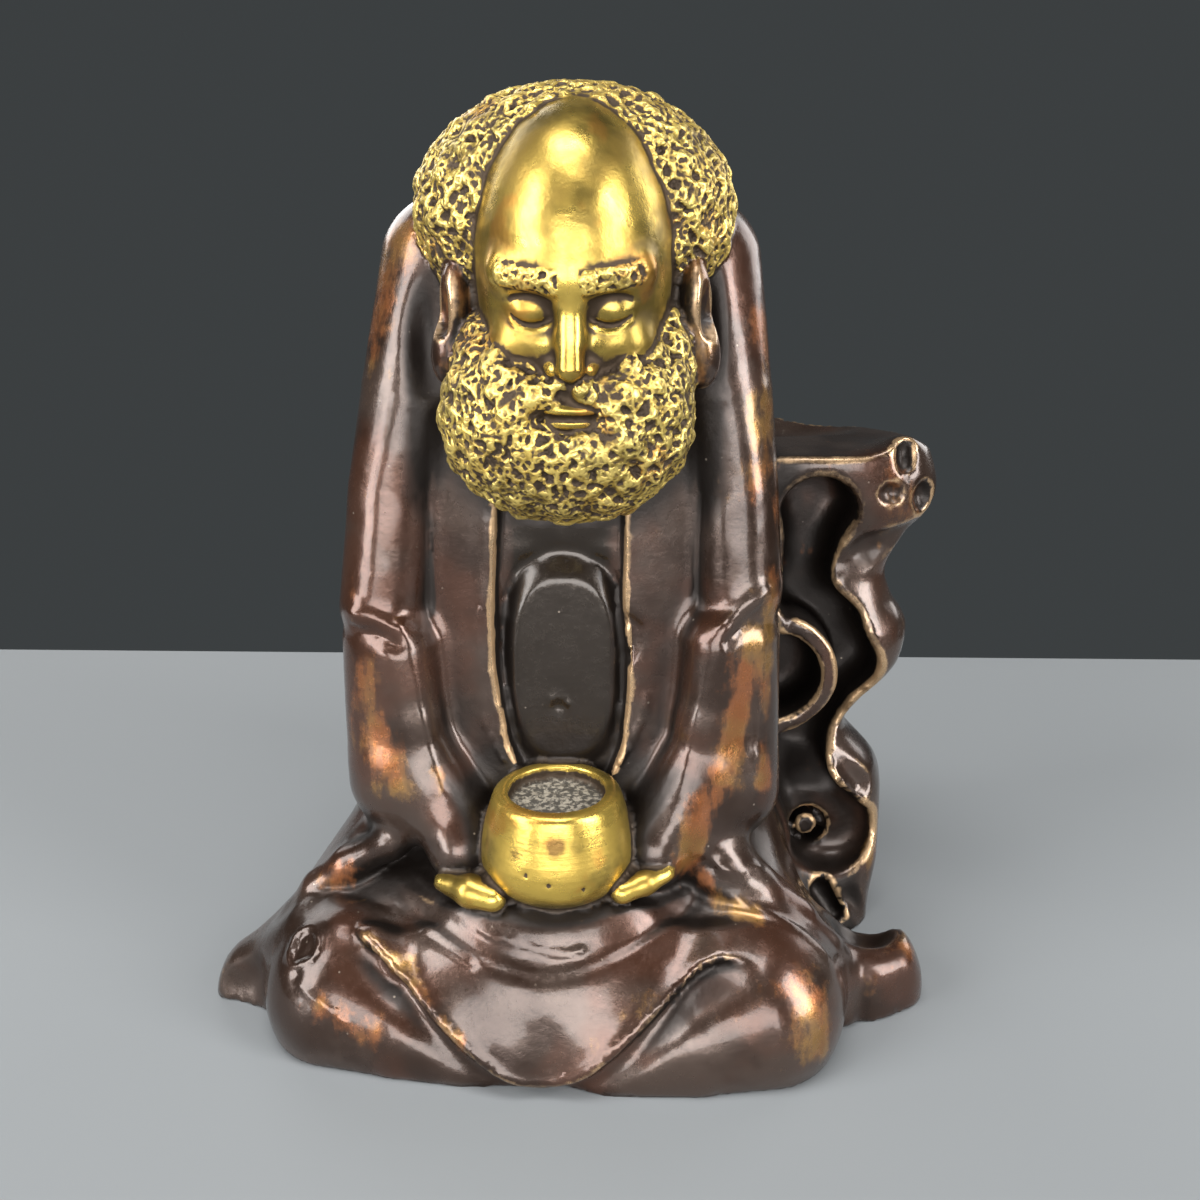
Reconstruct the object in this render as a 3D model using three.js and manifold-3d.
// A seated bearded sage in a robe with a small bowl in his lap and a pierced scholar's rock
// behind him, all of one casting. Millimetres. X to the viewer's right, Y to the back, Z up.
// The figure faces -Y and the origin lies on the flat underside below the axis of the trunk.

import * as THREE from "three";
import { mergeVertices } from "three/addons/utils/BufferGeometryUtils.js";
import Module from "manifold-3d";

// Driving sizes
const HAIR_TOP = 160;
const TRUNK_TOP = 146;
const BASE_DROP = 3;
const CHEST_X = -1.1;
const LAPEL_STEP = 3.4;
const HEAD_X = 1.5;
const HEAD_Y = -13;
const HEAD_Z = 131;
const HEAD_BOW = THREE.MathUtils.degToRad(12);
const CURL_DEPTH = 0.6;
const RIM_X = -4;
const RIM_LOW = 1.6;
const RIM_RISE_LEFT = 21.2;
const RIM_RISE_RIGHT = 19.6;
const RIM_REACH_LEFT = 36.5;
const RIM_REACH_RIGHT = 32.5;
const RIM_FADE_FROM = 28;
const RIM_FADE_TO = 37;
const UPPER_CLOTH_X = -3;
const UPPER_CLOTH_Y = -34;
const UPPER_CLOTH_CURVE = 0.021;
const ROCK_TOP = 98.5;
const HOLLOW_BACK = 25;
const FOOT_BACK = 18;
const BOWL_X = -1.9;
const BOWL_Y = -21.5;
const BOWL_RIM_Z = 47.2;
const BOWL_FOOT_Z = 29;
const BOWL_RIM_R = 11;
const BOWL_MOUTH_R = 8.4;
const BOWL_BELLY_R = 13.5;
const BOWL_DISH = 2.6;
const BOWL_SIDES = 36;

// Meshing
const CELL = 1.6;
const CELLS_FROM = [-71, -47, -BASE_DROP - CELL];
const CELLS_TO = [74, 57, HAIR_TOP + 3];
const TARGET_TRIANGLES = 9000;
const HEAD_WEIGHT = 4;
const HEAD_FROM_Z = 96;
const HEAD_TO_Y = 12;
const HEAD_HALF_WIDTH = 24;
const FLOOR_SIZE = 300;
const FLOOR_DEPTH = 40;

// Small field helpers
const clamp = (v, lo, hi) => Math.min(Math.max(v, lo), hi);
const mix = (a, b, t) => a + (b - a) * t;

function smin(a, b, k) {
  const h = Math.max(k - Math.abs(a - b), 0) / k;
  return Math.min(a, b) - h * h * k * 0.25;
}

function smax(a, b, k) {
  return -smin(-a, -b, k);
}

function step(lo, hi, v) {
  const t = clamp((v - lo) / (hi - lo), 0, 1);
  return t * t * (3 - 2 * t);
}

function bell(v, centre, width) {
  const t = (v - centre) / width;
  return Math.exp(-t * t);
}

function ellipsoid(x, y, z, c, r) {
  const px = (x - c[0]) / r[0];
  const py = (y - c[1]) / r[1];
  const pz = (z - c[2]) / r[2];
  const k0 = Math.hypot(px, py, pz);
  const k1 = Math.hypot(px / r[0], py / r[1], pz / r[2]);
  return k1 < 1e-9 ? -Math.min(...r) : (k0 * (k0 - 1)) / k1;
}

// A tapered limb between two balls, each given as x, y, z, radius
function limb(x, y, z, a, b) {
  const dx = b[0] - a[0];
  const dy = b[1] - a[1];
  const dz = b[2] - a[2];
  const along = (x - a[0]) * dx + (y - a[1]) * dy + (z - a[2]) * dz;
  const t = clamp(along / (dx * dx + dy * dy + dz * dz), 0, 1);
  const gap = Math.hypot(x - a[0] - dx * t, y - a[1] - dy * t, z - a[2] - dz * t);
  return gap - mix(a[3], b[3], t);
}

function chain(x, y, z, balls, k) {
  let d = limb(x, y, z, balls[0], balls[1]);
  for (let i = 1; i < balls.length - 1; i += 1) {
    const next = limb(x, y, z, balls[i], balls[i + 1]);
    d = k > 0 ? smin(d, next, k) : Math.min(d, next);
  }
  return d;
}

// A chain drawn in the front view only, each knot given as x, z, radius
function flatChain(x, z, knots, k) {
  let d = Infinity;
  for (let i = 0; i < knots.length - 1; i += 1) {
    const a = knots[i];
    const b = knots[i + 1];
    const dx = b[0] - a[0];
    const dz = b[1] - a[1];
    const t = clamp(((x - a[0]) * dx + (z - a[1]) * dz) / (dx * dx + dz * dz), 0, 1);
    const gap = Math.hypot(x - a[0] - dx * t, z - a[1] - dz * t) - mix(a[2], b[2], t);
    d = i === 0 ? gap : smin(d, gap, k);
  }
  return d;
}

// Rows of a table read at height v, smoothly: the first entry of a row is its height
function sizesAt(table, v) {
  let i = 1;
  while (i < table.length - 2 && table[i + 1][0] < v) {
    i += 1;
  }
  if (v < table[1][0]) {
    i = 0;
  }
  const a = table[i];
  const b = table[i + 1];
  const before = table[Math.max(i - 1, 0)];
  const after = table[Math.min(i + 2, table.length - 1)];
  const span = b[0] - a[0];
  const t = clamp((v - a[0]) / span, 0, 1);
  const out = [];
  for (let j = 1; j < a.length; j += 1) {
    const ma = ((b[j] - before[j]) / (b[0] - before[0])) * span;
    const mb = ((after[j] - a[j]) / (after[0] - a[0])) * span;
    const t2 = t * t;
    const t3 = t2 * t;
    out.push((2 * t3 - 3 * t2 + 1) * a[j] + (t3 - 2 * t2 + t) * ma
      + (3 * t2 - 2 * t3) * b[j] + (t3 - t2) * mb);
  }
  return out;
}

// An upright body with a rounded-oblong plan between xl..xr and yf..yb
function plan(x, y, xl, xr, yf, yb, power) {
  const wx = (xr - xl) / 2;
  const wy = (yb - yf) / 2;
  const px = Math.abs(x - (xl + xr) / 2) / wx;
  const py = Math.abs(y - (yf + yb) / 2) / wy;
  const q = Math.pow(Math.pow(px, power) + Math.pow(py, power), 1 / power);
  if (q < 1e-3) {
    return -Math.min(wx, wy);
  }
  const gx = Math.pow(px / q, power - 1) / wx;
  const gy = Math.pow(py / q, power - 1) / wy;
  return (q - 1) / Math.hypot(gx, gy);
}

// Height, left, right, front and back of the robed trunk
const TRUNK = [
  [-6, -50.5, 47, -20, 35],
  [8, -48.5, 45, -19, 35],
  [20, -44.5, 41, -16, 34],
  [32, -41.5, 38, -13, 32.5],
  [45, -39.5, 36, -10.5, 31.5],
  [74, -38, 34.5, -9, 30.5],
  [95, -36, 33.2, -8, 29.5],
  [110, -34, 31.8, -7, 28.5],
  [125, -30.5, 29.2, -5, 27],
  [136, -26.5, 26, -2, 25],
  [150, -19.5, 19.5, 3, 21],
];
const ARM_LEFT = [[-19.7, 3, 132, 12.3], [-26, -2, 112, 9.5], [-30.2, -5, 96, 7.9], [-32.4, -7.4, 76.5, 8]];
const ARM_RIGHT = [[19.8, 3, 132, 12.3], [24.8, -2, 112, 9.4], [28.2, -5, 96, 7.5], [29.2, -7, 78, 7.6]];
const SLEEVE_LEFT = [[-31, -6.5, 69, 9.6], [-31.3, -8, 56, 9.3], [-30.6, -8.8, 43, 10]];
const SLEEVE_RIGHT = [[27.5, -6.5, 70, 9.5], [28, -8, 56, 9.2], [28, -8.8, 42, 9.9]];
const EDGE_LEFT = [
  [-29, -13.2, 69, 4.4],
  [-27.3, -14, 56.6, 4.4],
  [-24.5, -15.2, 46, 4.8],
  [-22, -17, 40, 5],
];
const EDGE_RIGHT = [[25, -13.5, 71, 4.2], [23.3, -14, 57, 4.4], [21.3, -15.2, 48, 4.6], [18.8, -18, 40, 5]];
const FOREARM_LEFT = [[-29, -10, 46, 9], [-18, -17, 35, 7]];
const FOREARM_RIGHT = [[26, -10, 46, 9], [14.5, -17, 35, 7]];
const FIST_LEFT = { c: [-19, -19.5, 34.5], r: [6, 6.5, 6.5] };
const FIST_RIGHT = { c: [15, -19.5, 34.5], r: [5.8, 6.5, 6.8] };
const BOWL_REST = { c: [-1.9, -17, 29.5], r: [13.5, 9.5, 7.5] };
const THUMB_LEFT = [[-21.5, -26, 31.2, 1.8], [-16.5, -28.5, 31, 2.7], [-12.5, -30, 30.6, 2.3]];
const THUMB_RIGHT = [[17.2, -25.8, 33.2, 1.3], [13.4, -27.6, 32.5, 2], [9.5, -29.2, 31.6, 2]];
const KNEE_LEFT = [[-39.6, -22.5, 5.5, 14.9], [-28, -26.5, 4.5, 13.2], [-10, -30, 2, 11.5]];
const KNEE_RIGHT = [[32.5, -26, 7, 16.1], [22, -29, 5, 14], [6, -30.5, 2, 12]];
const KNEE_FOLD = [
  [-30, -30.4, 16.6, 2.8],
  [-35, -27.8, 18.3, 2.9],
  [-40.5, -24.2, 18.6, 3],
  [-46, -21.5, 17, 2.8],
];
const THIGH_LEFT = [[-40, -20, 8, 13], [-28, 4, 17, 17]];
const THIGH_RIGHT = [[33, -22, 9, 14], [25, 4, 17, 17]];
const LAP = { c: [-2, -15.5, 6], r: [40, 24.5, 24.5] };

// The cloak's two tails seen from above as x, y, radius, and the height of their edge at each x
const TAIL_LEFT = [[-34, 0, 9], [-46, -6, 8], [-55, -13.2, 6.8], [-62.6, -13.4, 5.6]];
const TAIL_EDGE_LEFT = [
  [-76, -3.5],
  [-69, 2.4],
  [-65.6, 7],
  [-59.6, 11.4],
  [-52.4, 17.8],
  [-45.1, 26.4],
  [-36, 35.6],
  [-28, 43],
];
const TAIL_LEAN_LEFT = 0.78;
const TAIL_HOLLOW = [[-63, -21, 4, 3.2], [-57, -24, 7, 5.4]];
const TAIL_RIGHT = [[33, -2, 9], [45, -11.5, 9], [54, -13, 8], [60.2, -12.2, 6.2]];
const TAIL_EDGE_RIGHT = [
  [28, 38],
  [34, 27],
  [40, 19],
  [46, 14.4],
  [52, 12.4],
  [58, 12],
  [62.5, 12],
  [65.4, 9],
  [68, 4],
  [75, -4],
];
const TAIL_LEAN_RIGHT = 0.86;
const TAIL_DIP = { c: [55.4, -8.6, 14], r: [6, 6.4, 6.6] };
const FALL_RIGHT = [[20, -15.5, 38, 5.5], [27.5, -17.4, 30, 5], [36, -19.4, 21.5, 4.2]];
const CUFF_FOLD_LEFT = [
  [-27.3, -15.6, 37.2, 3.2],
  [-32.6, -15.2, 32.6, 3],
  [-41, -13.8, 26.8, 3],
  [-47, -13, 21.6, 2.8],
  [-51, -13.4, 15.8, 2.6],
  [-54.5, -15, 8, 2.6],
];
const CUFF_FOLD_RIGHT = [
  [27.4, -16.4, 33.8, 2.4],
  [34.4, -17.4, 26.4, 2.6],
  [41.4, -18.4, 20.4, 2.6],
  [46.6, -18.8, 14, 2.5],
  [49, -20.6, 8.5, 2.3],
  [50, -21.6, 2, 2.3],
];
const SHADE_LEFT = [[-23.5, -22.5, 30, 1.4], [-30, -21, 28.6, 1.9], [-39, -17.5, 26, 1.5]];
const POCKET_LEFT = { c: [-22.5, -13.5, 123], r: [3.6, 5.5, 11] };
const POCKET_RIGHT = { c: [21.8, -13.5, 127], r: [3, 5.5, 11] };
const ELBOW_LEFT = [[-38.2, -7, 74.6, 2], [-35.2, -12.6, 75.6, 2.2], [-29.6, -14.2, 73.4, 2]];
const ELBOW_RIGHT = [[34.6, -6, 80, 1.8], [31.6, -11.9, 78.6, 2], [26.4, -14.2, 74, 2]];

// The chest: its two panels end in a groove at the arms, the belly swells between them, and two
// soft folds of skin lie under the beard, each as height, half height, middle, half width, swell
const BELLY = { z: 64.8, halfWidth: 10.1, halfHeight: 19, power: 2.7, swell: 1.4, moat: 0.9 };
const CHEST_FOLDS = [[90.5, 2.6, 3.8, 3, 0.8], [85.5, 1.6, 4.6, 3.4, 0.5]];
const PANEL_END_LEFT = -24.6;
const PANEL_END_RIGHT = 22.6;
const PANEL_GROOVE = 0.9;

// How far the lap's rim stands out, its rolled edge, and the undercut below it; then the upper
// cloth's step and the valley in front of it
const RIM = { step: 1.5, roll: 0.4, undercut: 1.2 };
const UPPER_CLOTH = { step: 1.1, valley: 0.7 };

// The cloak's back: depth of its slow folds, height and swell of its collar, and their arch
const BACK_FOLD = 0.9;
const COLLAR = { z: 138, rise: 1.6, valleyZ: 132, valley: 1, arch: 0.012 };

// The left and right border of the open chest at height z
function lapelLeft(z) {
  return mix(-9.4, -12.4, step(44, 68, z)) + 1.2 * step(72, 98, z) + 3 * (1 - step(40, 52, z));
}

function lapelRight(z) {
  return mix(8, 9.4, step(44, 64, z)) - 0.8 * step(66, 78, z) - 3 * (1 - step(40, 52, z));
}

// How far the robe front stands out of the plain trunk: two panels, open chest, belly
function frontRelief(x, y, z) {
  if (y > 6 || z > 128 || z < 32) {
    return 0;
  }
  const face = step(6, -2, y) * step(34, 44, z) * step(128, 112, z);
  const left = lapelLeft(z);
  const right = lapelRight(z);
  let out = 0;
  if (x < left) {
    const away = left - x;
    out = LAPEL_STEP * step(0, 1.6, away) * step(15, 11, away) - PANEL_GROOVE * bell(x, PANEL_END_LEFT, 0.9);
  } else if (x > right) {
    const away = x - right;
    out = LAPEL_STEP * step(0, 1.6, away) * step(16, 12, away) - PANEL_GROOVE * bell(x, PANEL_END_RIGHT, 0.9);
  } else {
    const aside = Math.abs(x - CHEST_X);
    const bx = aside / BELLY.halfWidth;
    const bz = Math.abs(z - BELLY.z) / BELLY.halfHeight;
    const q = Math.pow(Math.pow(bx, BELLY.power) + Math.pow(bz, BELLY.power), 1 / BELLY.power);
    out = BELLY.swell * step(1.04, 0.82, q) - BELLY.moat * bell(q, 1.1, 0.08) * step(60, 72, z);
    for (const [level, tall, middle, wide, swell] of CHEST_FOLDS) {
      out += swell * bell(z, level, tall) * bell(aside, middle, wide);
    }
  }
  return out * face;
}

// The cloth hanging between the shins ends in a rim that dips to the floor in a shallow V
function tongueRim(x) {
  const left = RIM_RISE_LEFT * step(0, RIM_REACH_LEFT, RIM_X - x);
  return RIM_LOW + left + RIM_RISE_RIGHT * step(0, RIM_REACH_RIGHT, x - RIM_X);
}

function lapRelief(x, y, z) {
  if (y > -6 || z > 36) {
    return 0;
  }
  const front = step(-8, -24, y);
  const aside = Math.abs(x - RIM_X);
  const slope = tongueRim(x + 0.5) - tongueRim(x - 0.5);
  const over = (z - tongueRim(x)) / Math.hypot(1, slope);
  const reach = step(RIM_FADE_TO, RIM_FADE_FROM, aside) * step(-24.5, -29, y);
  let out = RIM.step * step(-1.5, 1.5, over) * reach;
  out += RIM.roll * bell(over, 1.8, 1.4) * reach;
  out -= RIM.undercut * bell(over, -2.6, 2.4) * reach;
  const across = Math.abs(x - UPPER_CLOTH_X);
  const layer = y - (UPPER_CLOTH_Y + UPPER_CLOTH_CURVE * across * across);
  const fade = step(33, 14, across) * step(16, 20, z);
  out += UPPER_CLOTH.step * step(-1.2, 1.2, layer) * fade * step(20, 4, layer);
  out -= UPPER_CLOTH.valley * bell(layer, -1.9, 1.5) * fade;
  return out * front;
}

// Slow folds down the cloak's back and a rolled collar behind the hair
function backRelief(x, y, z) {
  if (y < 4) {
    return 0;
  }
  const drift = x + 0.1 * (z - 70) * (x > 0 ? 0.35 : -0.35);
  const folds = Math.cos(drift * 0.36 + 0.5) + 0.5 * Math.cos(drift * 0.17 - 1.4);
  const lower = step(128, 60, z);
  const drop = COLLAR.arch * x * x;
  const collar = COLLAR.rise * bell(z, COLLAR.z - drop, 3.4);
  const valley = COLLAR.valley * bell(z, COLLAR.valleyZ - drop, 2.4);
  return BACK_FOLD * folds * lower * step(4, 18, y) + (collar - valley) * step(6, 16, y);
}

// A tail stands on the floor as a thick sheet with a rolled upper edge
function tail(x, y, z, knots, edge, lean) {
  const wall = flatChain(x, y, knots, 4);
  const [top] = sizesAt(edge, x);
  return smax(wall, lean * (z - top), 5);
}

function robe(x, y, z) {
  const [xl, xr, yf, yb] = sizesAt(TRUNK, z);
  let d = plan(x, y, xl, xr, yf, yb, 2.6);
  d = smax(d, z - TRUNK_TOP, 14);
  d -= frontRelief(x, y, z) + backRelief(x, y, z);
  const arms = Math.min(chain(x, y, z, ARM_LEFT, 0), chain(x, y, z, ARM_RIGHT, 0));
  const sleeves = Math.min(chain(x, y, z, SLEEVE_LEFT, 0), chain(x, y, z, SLEEVE_RIGHT, 0));
  const edges = Math.min(chain(x, y, z, EDGE_LEFT, 2), chain(x, y, z, EDGE_RIGHT, 2));
  d = smin(d, smin(arms, smin(sleeves, edges, 3), 1.5), 2.5);
  d = smax(d, -ellipsoid(x, y, z, POCKET_LEFT.c, POCKET_LEFT.r), 2.5);
  d = smax(d, -ellipsoid(x, y, z, POCKET_RIGHT.c, POCKET_RIGHT.r), 2.5);
  let low = ellipsoid(x, y, z, LAP.c, LAP.r);
  low = smin(low, chain(x, y, z, KNEE_LEFT, 0), 4);
  low = smin(low, chain(x, y, z, KNEE_RIGHT, 0), 4);
  low = smin(low, chain(x, y, z, KNEE_FOLD, 2), 3);
  low = smin(low, chain(x, y, z, THIGH_LEFT, 0), 7);
  low = smin(low, chain(x, y, z, THIGH_RIGHT, 0), 7);
  low -= lapRelief(x, y, z);
  d = smin(d, low, 5);
  const tailLeft = tail(x, y, z, TAIL_LEFT, TAIL_EDGE_LEFT, TAIL_LEAN_LEFT);
  const tailRight = tail(x, y, z, TAIL_RIGHT, TAIL_EDGE_RIGHT, TAIL_LEAN_RIGHT);
  d = smin(d, smax(tailLeft, -chain(x, y, z, TAIL_HOLLOW, 3), 3), 5);
  d = smin(d, smax(tailRight, -ellipsoid(x, y, z, TAIL_DIP.c, TAIL_DIP.r), 2.5), 5);
  d = smax(d, -chain(x, y, z, SHADE_LEFT, 0), 2.5);
  d = smin(d, chain(x, y, z, FOREARM_LEFT, 0), 4);
  d = smin(d, chain(x, y, z, FOREARM_RIGHT, 0), 4);
  d = smin(d, ellipsoid(x, y, z, FIST_LEFT.c, FIST_LEFT.r), 2);
  d = smin(d, ellipsoid(x, y, z, FIST_RIGHT.c, FIST_RIGHT.r), 2);
  d = smin(d, ellipsoid(x, y, z, BOWL_REST.c, BOWL_REST.r), 3);
  d = smin(d, chain(x, y, z, FALL_RIGHT, 3), 4);
  d = smin(d, chain(x, y, z, CUFF_FOLD_LEFT, 2), 2.2);
  d = smin(d, chain(x, y, z, CUFF_FOLD_RIGHT, 2), 2);
  d = smin(d, chain(x, y, z, ELBOW_LEFT, 2), 2.2);
  d = smin(d, chain(x, y, z, ELBOW_RIGHT, 2), 2.2);
  d = smin(d, chain(x, y, z, THUMB_LEFT, 1), 1);
  d = smin(d, chain(x, y, z, THUMB_RIGHT, 1), 1);
  return d;
}

// The parts of the head in its own bowed frame: u across, f forward, w up. The face is a calm
// one on plain thirds: brow, nose base and chin are equally spaced, an eye a fifth of the width.
const FACE = {
  dome: { c: [0, -1, 5], r: [15.6, 21, 21.5] },
  jaw: { c: [0, 2, -8], r: [13.4, 16.6, 17] },
  brow: [[1.5, 17.4, 5, 2.2], [10, 14, 5.8, 2.2]],
  socket: { c: [6.2, 20.4, 0.4], r: [5, 4.4, 3.4] },
  lid: { c: [5.8, 14.6, 0.5], r: [3.6, 2.9, 2.7] },
  nose: [[0, 16.9, 3.6, 1.6], [0, 20.9, -6.6, 2.1]],
  nostril: { c: [2.3, 18.4, -7.4], r: [1.7, 2.2, 1.5] },
  cheek: { c: [8, 13.2, -5.2], r: [3.9, 4, 3.6] },
  mouth: { c: [0, 14.6, -13.8], r: [8, 6, 4] },
  upperLip: { c: [0, 20.3, -12.9], r: [4.8, 2, 1.2] },
  lowerLip: { c: [0, 20, -15], r: [4.2, 2, 1.3] },
};
const BEARD = {
  mass: { c: [-1.2, 11.6, -18.2], r: [19.4, 12.6, 16.4] },
  sideburn: { c: [13.8, 5, -11], r: [4.6, 7, 8] },
  bareFace: { c: [0, 24, 4], r: [13.4, 17, 14.5] },
  moustache: [[1.6, 20, -9.9, 1.7], [9.4, 17.4, -13.8, 2.7]],
  bareMouth: { c: [0, 27.4, -14], r: [8.4, 7.6, 4] },
};
const HAIR = { c: [-0.4, -8.5, 9], r: [24.9, 17.5, 18.5] };
const HAIRLINE = { forward: 7.6, slant: 0.18 };
const NECK = { c: [0, -5.5, -6], r: [18.6, 9.5, 11.5] };
const EAR_SHELL = { c: [18.4, 1.6, -3.2], r: [2.8, 4.8, 7.4] };
const EAR_LOBE = { c: [19.9, 3.4, -11], r: [3, 3.6, 5] };

function faceForm(u, f, w) {
  const s = Math.abs(u);
  const pair = (part) => ellipsoid(s, f, w, part.c, part.r);
  let d = smin(pair(FACE.dome), pair(FACE.jaw), 5);
  d = smin(d, limb(s, f, w, FACE.brow[0], FACE.brow[1]), 2.5);
  d = smax(d, -pair(FACE.socket), 2.5);
  d = smin(d, pair(FACE.lid), 1);
  d = smin(d, limb(s, f, w, FACE.nose[0], FACE.nose[1]), 1.8);
  d = smin(d, pair(FACE.nostril), 1);
  d = smin(d, pair(FACE.cheek), 2.5);
  d = smin(d, pair(FACE.mouth), 1.5);
  return smin(d, Math.min(pair(FACE.upperLip), pair(FACE.lowerLip)), 0.6);
}

function beardForm(u, f, w) {
  const s = Math.abs(u);
  let d = ellipsoid(u, f, w, BEARD.mass.c, BEARD.mass.r);
  d = smin(d, ellipsoid(s, f, w, BEARD.sideburn.c, BEARD.sideburn.r), 4);
  d = smax(d, -ellipsoid(u, f, w, BEARD.bareFace.c, BEARD.bareFace.r), 2.5);
  d = smin(d, limb(s, f, w, BEARD.moustache[0], BEARD.moustache[1]), 1.5);
  d = smax(d, -ellipsoid(u, f, w, BEARD.bareMouth.c, BEARD.bareMouth.r), 2);
  return d - CURL_DEPTH * Math.sin(0.9 * u) * Math.sin(0.85 * w + 0.7) * Math.sin(0.8 * f);
}

function hairForm(u, f, w) {
  const d = smax(ellipsoid(u, f, w, HAIR.c, HAIR.r), f - HAIRLINE.forward + HAIRLINE.slant * w, 3);
  return d - CURL_DEPTH * Math.sin(0.85 * u + 0.6) * Math.sin(0.8 * w) * Math.sin(0.8 * f + 1);
}

function head(x, y, z) {
  const u = x - HEAD_X;
  const f = -Math.cos(HEAD_BOW) * (y - HEAD_Y) - Math.sin(HEAD_BOW) * (z - HEAD_Z);
  const w = -Math.sin(HEAD_BOW) * (y - HEAD_Y) + Math.cos(HEAD_BOW) * (z - HEAD_Z);
  const s = Math.abs(u);
  const shell = ellipsoid(s, f, w, EAR_SHELL.c, EAR_SHELL.r);
  const ear = smin(shell, ellipsoid(s, f, w, EAR_LOBE.c, EAR_LOBE.r), 3);
  let d = smin(faceForm(u, f, w), hairForm(u, f, w), 1.4);
  d = smin(d, ellipsoid(u, f, w, NECK.c, NECK.r), 2);
  d = smin(d, beardForm(u, f, w), 1);
  return smin(d, ear, 1.2);
}

// Height, left, right and front of the rock; its back slopes in towards the right
const ROCK = [
  [-6, 12, 61, 2],
  [4, 12, 61.5, 5],
  [14, 11, 63.2, 8.5],
  [24, 11, 63.6, 10],
  [32, 12, 61.4, 10.5],
  [41, 14, 54.6, 11.5],
  [48, 13, 57, 11],
  [56, 12, 64.2, 10.5],
  [63, 12, 65.2, 10.5],
  [69, 13, 62, 11],
  [75, 14, 60.5, 11.5],
  [82, 12, 63.2, 11],
  [88, 10, 68, 9.5],
  [93, 9, 68.6, 9],
  [102, 9, 65.6, 9.5],
];

const ROCK_BACK = { y: 50.5, slope: 0.42, from: 36, lower: 2.5, lean: 0.02 };
const ROCK_WAVE = 1.1;
const KNOB = { x: 61, y: 15, wide: 5, deep: 7, rise: 2.8 };

// The long hollow seen from the front, as x, z, radius from the head downwards
const HOLLOW = [
  [45.4, 87.6, 7.1],
  [44.5, 79, 4.2],
  [44, 71, 4.6],
  [48.5, 64, 6.2],
  [52.4, 56.5, 5.8],
  [47.4, 46.8, 5],
  [44.6, 38, 4.8],
  [45.6, 31, 4.8],
  [52.2, 20, 8.5],
];
const LOBE_HOLE = [[37.4, 54.6, 8.8], [38.8, 54.2, 9.2]];
const LOBE_WALL = 3.4;
const SNAIL = { x: 47.8, z: 18.3, hole: 4.3, heart: 2.3, depth: 5 };
const ROCK_BITES = [
  { c: [34, 54, 52], r: [11, 12, 20], k: 5 },
  { c: [70.5, 34, 44], r: [10, 8, 24], k: 5 },
  { c: [50, 50, 18], r: [8, 10, 12], k: 4 },
];
const ROCK_SCOOPS = [
  [[64, 13.5, 82, 3.4], [56.5, 12, 79.4, 3.8], [49.5, 11, 76.6, 2.6]],
  [[61.6, 13.5, 76, 2.8], [62.8, 14.5, 69.4, 2.6]],
  [[53.6, 11.2, 37, 2.4], [58.6, 11.8, 30.6, 3.2]],
  [[50, 8.5, 8.6, 2.2], [53, 8, 4, 1.8]],
  [[57, 7.5, 7, 2.4], [60.5, 8.5, 2, 1.8]],
];
const PLATFORM_DISH = { c: [38, 38, ROCK_TOP + 3], r: [21, 10.5, 5.5] };
const KNOB_FACETS = [
  { c: [60.8, 10.4, 99], r: [1.9, 4.2, 4] },
  { c: [58.6, 8.6, 91.6], r: [2.6, 3.4, 2.4] },
  { c: [65.2, 11.8, 90.4], r: [2.3, 3.6, 3.2] },
  { c: [64.4, 13.6, 63.6], r: [1.2, 3.2, 3] },
];

// The carved hollows of the rock: the long one, the lobe hole behind its wall, the foot's snail
function rockHollows(x, y, z) {
  const back = mix(FOOT_BACK, HOLLOW_BACK, step(26, 36, z));
  const hollow = smax(flatChain(x, z, HOLLOW, 3), y - back, 5);
  const ring = flatChain(x, z, LOBE_HOLE, 3);
  const lobe = smax(ring, y - HOLLOW_BACK, 5);
  const lobeWall = smax(ring - LOBE_WALL, 12 - y, 1.2);
  const open = smin(smax(hollow, -lobeWall, 1.2), lobe, 0.6);
  const spin = Math.hypot(x - SNAIL.x, z - SNAIL.z);
  const heart = smax(spin - SNAIL.heart, FOOT_BACK - 1 - y, 1.2);
  const snail = smax(smax(spin - SNAIL.hole, y - FOOT_BACK - SNAIL.depth, 2), -heart, 1.2);
  return smin(open, snail, 0.8);
}

function rock(x, y, z) {
  const [xl, xr, yf] = sizesAt(ROCK, z);
  const lower = ROCK_BACK.lower * step(90, 40, z) + ROCK_BACK.lean * (60 - z) * step(80, 60, z);
  const yb = ROCK_BACK.y - ROCK_BACK.slope * Math.max(x - ROCK_BACK.from, 0) - lower;
  let d = plan(x, y, xl, xr, yf, yb, 3.4);
  const wave = Math.sin(0.19 * x + 0.06 * z) * Math.sin(0.11 * z + 0.16 * y);
  d -= ROCK_WAVE * wave * step(94, 84, z) * step(4, 14, z);
  d = smax(d, -rockHollows(x, y, z), 1.8);
  for (const bite of ROCK_BITES) {
    d = smax(d, -ellipsoid(x, y, z, bite.c, bite.r), bite.k);
  }
  for (const scoop of ROCK_SCOOPS) {
    d = smax(d, -chain(x, y, z, scoop, 1.5), 1.4);
  }
  const knob = KNOB.rise * bell(x, KNOB.x, KNOB.wide) * bell(y, KNOB.y, KNOB.deep);
  const top = ROCK_TOP + 1.6 * step(20, 50, y) * step(60, 20, x) + knob;
  d = smax(d, z - top, 1.4);
  d = smax(d, -ellipsoid(x, y, z, PLATFORM_DISH.c, PLATFORM_DISH.r), 1);
  for (const facet of KNOB_FACETS) {
    d = smax(d, -ellipsoid(x, y, z, facet.c, facet.r), 0.8);
  }
  return d;
}

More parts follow.
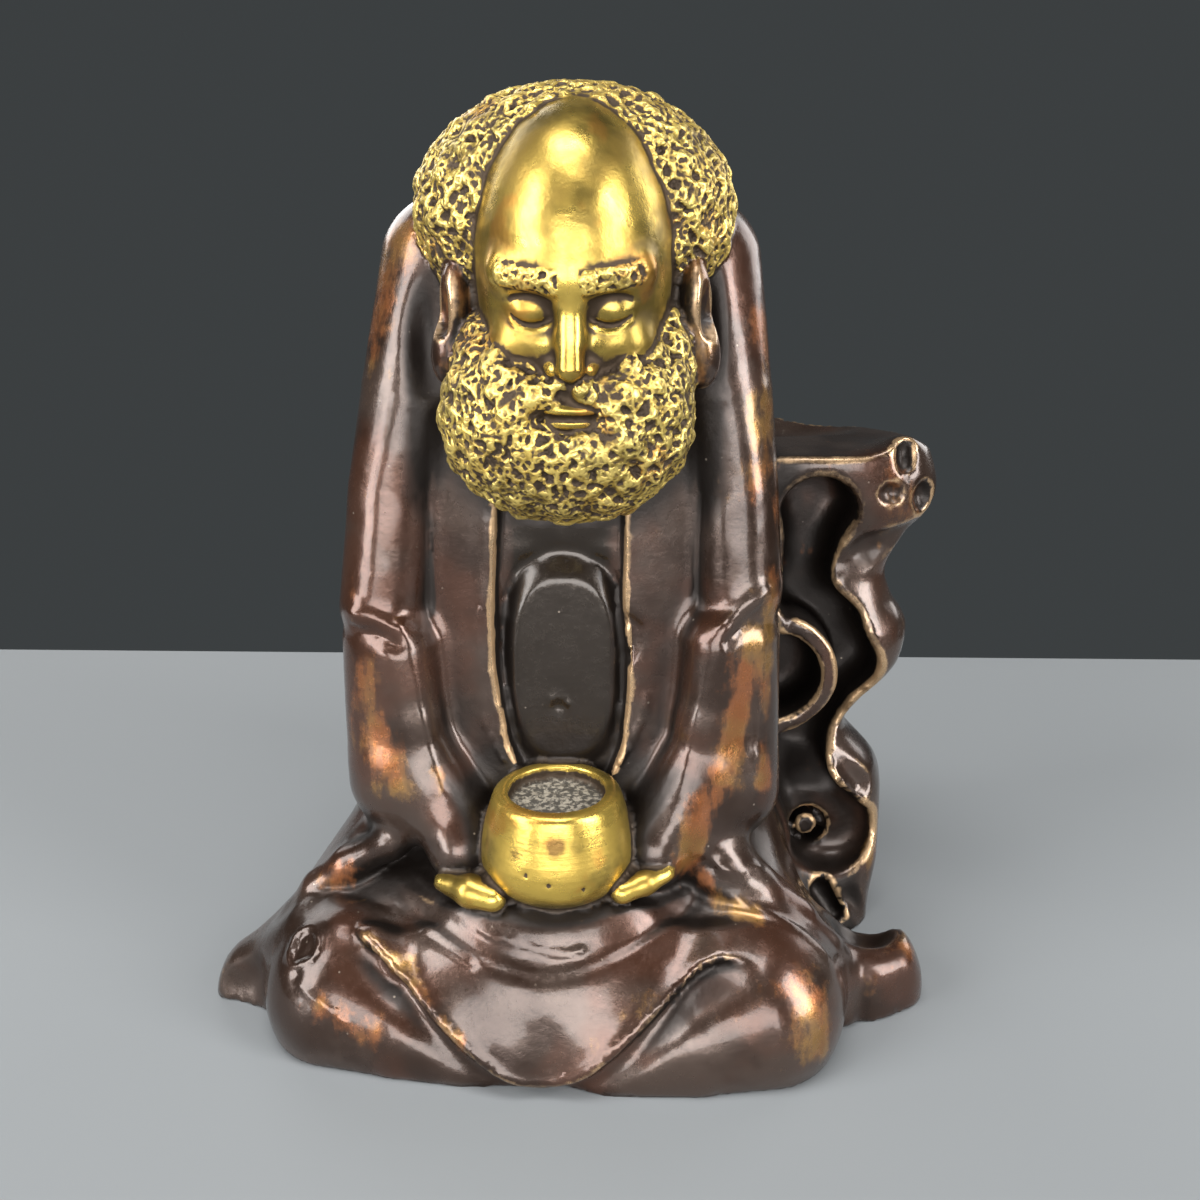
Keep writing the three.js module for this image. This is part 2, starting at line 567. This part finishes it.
function casting(x, y, z) {
  let d = robe(x, y, z);
  if (z > 90 && y < 34) {
    d = smin(d, head(x, y, z), 1.2);
  }
  d = smin(d, rock(x, y, z), 3);
  return smax(d, -BASE_DROP - z, 0.1);
}

// Marching tetrahedra over a box of cells, each cell split in six round its long diagonal
const TETS = [
  [0, 1, 3, 7],
  [0, 3, 2, 7],
  [0, 2, 6, 7],
  [0, 6, 4, 7],
  [0, 4, 5, 7],
  [0, 5, 1, 7],
];

function polygonise(field, lo, hi, cell) {
  const n = [0, 1, 2].map((i) => Math.ceil((hi[i] - lo[i]) / cell) + 1);
  const at = (i, j, k) => (k * n[1] + j) * n[0] + i;
  const values = new Float64Array(n[0] * n[1] * n[2]);
  for (let k = 0; k < n[2]; k += 1) {
    for (let j = 0; j < n[1]; j += 1) {
      for (let i = 0; i < n[0]; i += 1) {
        const v = field(lo[0] + i * cell, lo[1] + j * cell, lo[2] + k * cell);
        values[at(i, j, k)] = Math.abs(v) < 1e-4 ? 1e-4 : v;
      }
    }
  }
  const points = [];
  const faces = [];
  const made = new Map();
  const place = (id) => {
    const i = id % n[0];
    const j = Math.floor(id / n[0]) % n[1];
    const k = Math.floor(id / (n[0] * n[1]));
    return [lo[0] + i * cell, lo[1] + j * cell, lo[2] + k * cell];
  };
  const crossing = (p, q) => {
    const a = Math.min(p, q);
    const b = Math.max(p, q);
    const key = a * values.length + b;
    if (!made.has(key)) {
      const t = clamp(values[a] / (values[a] - values[b]), 0.12, 0.88);
      const pa = place(a);
      const pb = place(b);
      made.set(key, points.length);
      points.push([mix(pa[0], pb[0], t), mix(pa[1], pb[1], t), mix(pa[2], pb[2], t)]);
    }
    return made.get(key);
  };
  const emit = (a, b, c, flip) => {
    faces.push(flip ? [a, c, b] : [a, b, c]);
  };
  for (let k = 0; k < n[2] - 1; k += 1) {
    for (let j = 0; j < n[1] - 1; j += 1) {
      for (let i = 0; i < n[0] - 1; i += 1) {
        const corner = [];
        let solid = 0;
        for (let c = 0; c < 8; c += 1) {
          const id = at(i + (c & 1), j + ((c >> 1) & 1), k + ((c >> 2) & 1));
          corner.push(id);
          solid += values[id] < 0 ? 1 : 0;
        }
        if (solid === 0 || solid === 8) {
          continue;
        }
        for (const tet of TETS) {
          const ids = tet.map((c) => corner[c]);
          const inside = [0, 1, 2, 3].filter((c) => values[ids[c]] < 0);
          const outside = [0, 1, 2, 3].filter((c) => values[ids[c]] >= 0);
          if (inside.length === 1 || inside.length === 3) {
            const lone = inside.length === 1 ? inside[0] : outside[0];
            const rest = [0, 1, 2, 3].filter((c) => c !== lone);
            const ring = rest.map((c) => crossing(ids[lone], ids[c]));
            const flip = (lone % 2 === 1) !== (inside.length === 3);
            emit(ring[0], ring[1], ring[2], flip);
          } else if (inside.length === 2) {
            const [a, b] = inside;
            const [c, d] = outside;
            const ring = [
              crossing(ids[a], ids[c]),
              crossing(ids[a], ids[d]),
              crossing(ids[b], ids[d]),
              crossing(ids[b], ids[c]),
            ];
            const order = [a, b, c, d];
            let swaps = 0;
            for (let p = 0; p < 4; p += 1) {
              for (let q = p + 1; q < 4; q += 1) {
                swaps += order[p] > order[q] ? 1 : 0;
              }
            }
            const flip = swaps % 2 === 1;
            emit(ring[0], ring[1], ring[2], flip);
            emit(ring[0], ring[2], ring[3], flip);
          }
        }
      }
    }
  }
  return { points, faces };
}

// Each point slides along the field's slope on to its surface
function settle(field, points, rounds) {
  const e = 0.02;
  for (const p of points) {
    for (let r = 0; r < rounds; r += 1) {
      const v = field(p[0], p[1], p[2]);
      const gx = (field(p[0] + e, p[1], p[2]) - v) / e;
      const gy = (field(p[0], p[1] + e, p[2]) - v) / e;
      const gz = (field(p[0], p[1], p[2] + e) - v) / e;
      const g = Math.max(gx * gx + gy * gy + gz * gz, 0.2);
      const move = clamp(v / g, -0.35 * CELL, 0.35 * CELL);
      p[0] -= gx * move;
      p[1] -= gy * move;
      p[2] -= gz * move;
    }
  }
}

// Edge collapse by quadric error, keeping the surface closed and every face the right way out
function simplify(points, faces, target, weightAt) {
  const quadrics = points.map(() => new Float64Array(10));
  const around = points.map(() => new Set());
  const alive = new Uint8Array(faces.length).fill(1);
  const normalOf = (a, b, c) => {
    const ux = b[0] - a[0];
    const uy = b[1] - a[1];
    const uz = b[2] - a[2];
    const vx = c[0] - a[0];
    const vy = c[1] - a[1];
    const vz = c[2] - a[2];
    return [uy * vz - uz * vy, uz * vx - ux * vz, ux * vy - uy * vx];
  };
  faces.forEach((face, index) => {
    const [a, b, c] = face.map((v) => points[v]);
    const raw = normalOf(a, b, c);
    const size = Math.hypot(...raw);
    face.forEach((v) => around[v].add(index));
    if (size < 1e-9) {
      return;
    }
    const [nx, ny, nz] = raw.map((v) => v / size);
    const off = -(nx * a[0] + ny * a[1] + nz * a[2]);
    const terms = [nx * nx, nx * ny, nx * nz, nx * off, ny * ny, ny * nz, ny * off, nz * nz, nz * off, off * off];
    const weight = size * weightAt(a);
    face.forEach((v) => terms.forEach((t, i) => {
      quadrics[v][i] += t * weight;
    }));
  });
  points.forEach((p, v) => {
    const pull = 0.004;
    const terms = [1, 0, 0, -p[0], 1, 0, -p[1], 1, -p[2], p[0] * p[0] + p[1] * p[1] + p[2] * p[2]];
    terms.forEach((t, i) => {
      quadrics[v][i] += t * pull;
    });
  });
  const stamp = new Int32Array(points.length);
  const heap = [];
  const less = (a, b) => heap[a].cost < heap[b].cost;
  const swap = (a, b) => {
    const t = heap[a];
    heap[a] = heap[b];
    heap[b] = t;
  };
  const push = (item) => {
    heap.push(item);
    let i = heap.length - 1;
    while (i > 0 && less(i, (i - 1) >> 1)) {
      swap(i, (i - 1) >> 1);
      i = (i - 1) >> 1;
    }
  };
  const pop = () => {
    swap(0, heap.length - 1);
    const item = heap.pop();
    let i = 0;
    for (;;) {
      const left = 2 * i + 1;
      if (left >= heap.length) {
        break;
      }
      const small = left + 1 < heap.length && less(left + 1, left) ? left + 1 : left;
      if (!less(small, i)) {
        break;
      }
      swap(small, i);
      i = small;
    }
    return item;
  };
  const errorAt = (q, p) => {
    const [x, y, z] = p;
    return q[0] * x * x + 2 * q[1] * x * y + 2 * q[2] * x * z + 2 * q[3] * x + q[4] * y * y
      + 2 * q[5] * y * z + 2 * q[6] * y + q[7] * z * z + 2 * q[8] * z + q[9];
  };
  const offer = (a, b) => {
    const q = quadrics[a].map((t, i) => t + quadrics[b][i]);
    const det = q[0] * (q[4] * q[7] - q[5] * q[5]) - q[1] * (q[1] * q[7] - q[5] * q[2])
      + q[2] * (q[1] * q[5] - q[4] * q[2]);
    const pa = points[a];
    const pb = points[b];
    const middle = [(pa[0] + pb[0]) / 2, (pa[1] + pb[1]) / 2, (pa[2] + pb[2]) / 2];
    let best = middle;
    if (Math.abs(det) > 1e-7) {
      const rx = -q[3];
      const ry = -q[6];
      const rz = -q[8];
      const x = (rx * (q[4] * q[7] - q[5] * q[5]) - q[1] * (ry * q[7] - q[5] * rz)
        + q[2] * (ry * q[5] - q[4] * rz)) / det;
      const y = (q[0] * (ry * q[7] - q[5] * rz) - rx * (q[1] * q[7] - q[5] * q[2])
        + q[2] * (q[1] * rz - ry * q[2])) / det;
      const z = (q[0] * (q[4] * rz - ry * q[5]) - q[1] * (q[1] * rz - ry * q[2])
        + rx * (q[1] * q[5] - q[4] * q[2])) / det;
      const reach = Math.hypot(pa[0] - pb[0], pa[1] - pb[1], pa[2] - pb[2]);
      if (Math.hypot(x - middle[0], y - middle[1], z - middle[2]) < reach) {
        best = [x, y, z];
      }
    }
    push({ cost: Math.max(errorAt(q, best), 0), a, b, best, sa: stamp[a], sb: stamp[b] });
  };
  const neighbours = (v) => {
    const out = new Set();
    around[v].forEach((f) => faces[f].forEach((w) => w !== v && out.add(w)));
    return out;
  };
  points.forEach((p, v) => neighbours(v).forEach((w) => v < w && offer(v, w)));
  let count = faces.length;
  while (count > target && heap.length > 0) {
    const { a, b, best, sa, sb } = pop();
    if (stamp[a] !== sa || stamp[b] !== sb) {
      continue;
    }
    const na = neighbours(a);
    const nb = neighbours(b);
    const shared = [...na].filter((v) => nb.has(v));
    if (shared.length !== 2 || shared.some((v) => around[v].size <= 3)) {
      continue;
    }
    const turns = (v, other) => [...around[v]].some((f) => {
      const face = faces[f];
      if (face.includes(other)) {
        return false;
      }
      const before = normalOf(...face.map((w) => points[w]));
      const after = normalOf(...face.map((w) => (w === v ? best : points[w])));
      const dot = before[0] * after[0] + before[1] * after[1] + before[2] * after[2];
      const sizes = Math.hypot(...before) * Math.hypot(...after);
      return dot < 0.35 * sizes || Math.hypot(...after) < 1e-4;
    });
    if (turns(a, b) || turns(b, a)) {
      continue;
    }
    for (const f of [...around[b]]) {
      const face = faces[f];
      if (face.includes(a)) {
        alive[f] = 0;
        count -= 1;
        face.forEach((v) => around[v].delete(f));
      } else {
        face[face.indexOf(b)] = a;
        around[a].add(f);
      }
    }
    around[b].clear();
    points[a] = best;
    for (let i = 0; i < 10; i += 1) {
      quadrics[a][i] += quadrics[b][i];
    }
    stamp[a] += 1;
    stamp[b] = -1;
    neighbours(a).forEach((v) => offer(Math.min(a, v), Math.max(a, v)));
  }
  return faces.filter((f, i) => alive[i]);
}

function toGeometry(points, faces) {
  const used = new Map();
  const position = [];
  const index = [];
  faces.forEach((face) => face.forEach((v) => {
    if (!used.has(v)) {
      used.set(v, used.size);
      position.push(...points[v]);
    }
    index.push(used.get(v));
  }));
  const geometry = new THREE.BufferGeometry();
  geometry.setAttribute("position", new THREE.Float32BufferAttribute(position, 3));
  geometry.setIndex(index);
  return geometry;
}

// The alms bowl, turned: foot, swelling belly, drawn-in rim and a shallow rough dish
function bowlGeometry() {
  const outline = [
    [0, BOWL_FOOT_Z],
    [9.3, BOWL_FOOT_Z],
    [11.2, 30.7],
    [12.7, 32.5],
    [13.4, 34.5],
    [BOWL_BELLY_R, 36.5],
    [13.2, 38.6],
    [12.6, 41],
    [11.8, 44],
    [BOWL_RIM_R, 46.4],
    [BOWL_RIM_R - 0.8, BOWL_RIM_Z],
    [BOWL_MOUTH_R + 0.4, BOWL_RIM_Z],
    [BOWL_MOUTH_R, BOWL_RIM_Z - 0.5],
    [BOWL_MOUTH_R - 0.4, BOWL_RIM_Z - BOWL_DISH],
    [0, BOWL_RIM_Z - BOWL_DISH],
  ];
  const geometry = new THREE.LatheGeometry(outline.map(([r, h]) => new THREE.Vector2(r, h)), BOWL_SIDES);
  geometry.rotateX(Math.PI / 2);
  geometry.translate(BOWL_X, BOWL_Y, 0);
  return geometry;
}

const wasm = await Module();
wasm.setup();

function toSolid(source) {
  const plain = source.clone();
  plain.deleteAttribute("normal");
  plain.deleteAttribute("uv");
  const merged = mergeVertices(plain, 1e-4);
  const spots = merged.attributes.position;
  const corners = merged.index.array;
  const kept = [];
  for (let i = 0; i < corners.length; i += 3) {
    const [a, b, c] = [corners[i], corners[i + 1], corners[i + 2]];
    if (a !== b && b !== c && a !== c) {
      kept.push(a, b, c);
    }
  }
  return new wasm.Manifold(new wasm.Mesh({
    numProp: 3,
    vertProperties: Float32Array.from(spots.array),
    triVerts: Uint32Array.from(kept),
  }));
}

function fromSolid(solid) {
  const mesh = solid.getMesh();
  const geometry = new THREE.BufferGeometry();
  geometry.setAttribute("position", new THREE.Float32BufferAttribute(mesh.vertProperties, 3));
  geometry.setIndex(Array.from(mesh.triVerts));
  geometry.computeVertexNormals();
  return geometry;
}

const shell = polygonise(casting, CELLS_FROM, CELLS_TO, CELL);
settle(casting, shell.points, 2);
const onHead = (p) => p[2] > HEAD_FROM_Z && p[1] < HEAD_TO_Y && Math.abs(p[0] - HEAD_X) < HEAD_HALF_WIDTH;
const headFirst = (p) => (onHead(p) ? HEAD_WEIGHT : 1);
const kept = simplify(shell.points, shell.faces, TARGET_TRIANGLES, headFirst);
const body = toSolid(toGeometry(shell.points, kept));
const floor = new THREE.BoxGeometry(FLOOR_SIZE, FLOOR_SIZE, FLOOR_DEPTH);
floor.translate(0, 0, -FLOOR_DEPTH / 2);
const burner = body.add(toSolid(bowlGeometry())).subtract(toSolid(floor));

const bronze = new THREE.MeshStandardMaterial({ color: 0x4a2f20, roughness: 0.38, metalness: 1 });
const castBurner = new THREE.Mesh(fromSolid(burner), bronze);
castBurner.name = "cast_burner";

const root = new THREE.Group();
root.name = "cast_incense_burner";
root.add(castBurner);

export default root;
